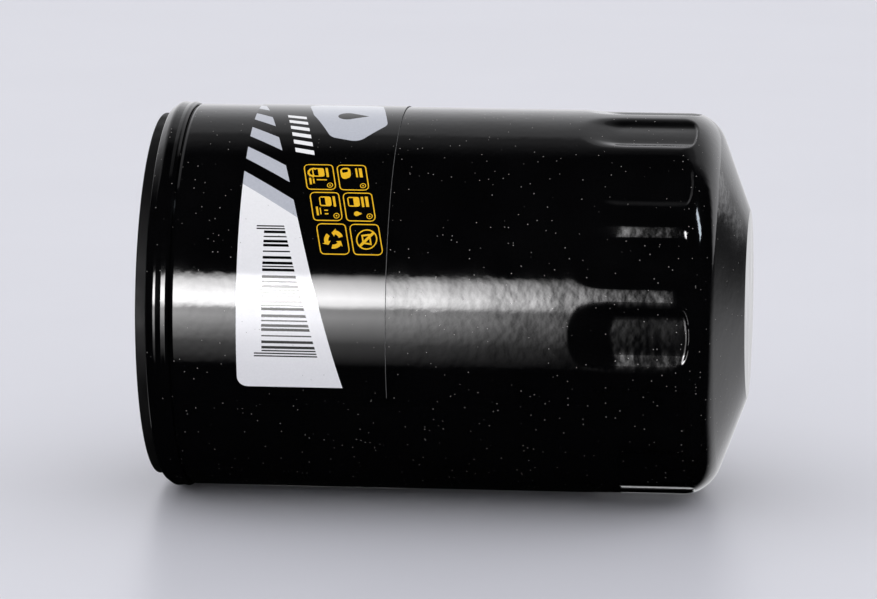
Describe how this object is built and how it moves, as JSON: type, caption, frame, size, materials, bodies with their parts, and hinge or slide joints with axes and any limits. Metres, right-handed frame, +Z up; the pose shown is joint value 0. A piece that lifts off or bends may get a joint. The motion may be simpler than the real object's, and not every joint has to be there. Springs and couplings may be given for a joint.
{
  "type": "spin-on engine oil filter",
  "caption": "Spin-on oil filter: black steel can with wrench flutes at the dome end, rolled seam, face gasket, threaded base plate and a pleated element inside.",
  "frame": {"origin": "centre of the gasket's sealing face, which is the plane that meets the engine", "axes": "+X along the filter's axis from the gasket to the closed dome end, +Z up as the filter lies on its side, -Y towards the side that carries the white panel of the label"},
  "size_m": [0.1422, 0.093, 0.093],
  "materials": {
    "black_paint": "gloss black enamel with a fine orange peel",
    "zinc_sheet": "zinc-plated stamped sheet",
    "bare_steel": "lightly oiled bare steel",
    "spring_steel": "drawn wire",
    "black_rubber": "moulded nitrile, matt",
    "silicone": "moulded silicone, satin",
    "filter_paper": "resin-treated pleated paper",
    "potting_adhesive": "cured plastisol",
    "sealing_compound": "cured lining compound",
    "printed_film": "smooth gloss film, printed in white, grey and yellow"
  },
  "bodies": {
    "housing": {"canister": "black_paint", "gasket_retainer": "black_paint", "seam_sealant": "sealing_compound", "sealing_gasket": "black_rubber", "base_plate": "bare_steel", "label_film": "printed_film", "element_spring": "spring_steel"},
    "drainback_flap": {"drainback_valve": "silicone"},
    "element": {"lower_end_cap": "zinc_sheet", "lower_potting": "potting_adhesive", "media_pack": "filter_paper", "media_seam_clip": "bare_steel", "center_tube": "bare_steel", "upper_potting": "potting_adhesive", "upper_end_cap": "zinc_sheet", "bypass_valve_cage": "zinc_sheet", "bypass_valve_spring": "spring_steel"},
    "bypass_poppet": {"bypass_valve_disc": "bare_steel", "bypass_valve_seal": "black_rubber", "bypass_valve_rivet": "bare_steel"}
  },
  "joints": [
    {"name": "element_slide", "type": "slide", "parent": "housing", "child": "element", "axis": [1, 0, 0], "range_m": [0, 0.0015], "stiffness_N_per_m": 8000, "springref_m": -0.006, "deforming": ["element_spring"]},
    {"name": "bypass_open", "type": "slide", "parent": "element", "child": "bypass_poppet", "axis": [-1, 0, 0], "range_m": [0, 0.003], "stiffness_N_per_m": 2500, "springref_m": -0.008, "deforming": ["bypass_valve_spring"]},
    {"name": "drainback_lift", "type": "slide", "parent": "housing", "child": "drainback_flap", "axis": [1, 0, 0], "range_m": [0, 0.0012], "stiffness_N_per_m": 300, "springref_m": -0.001}
  ]
}
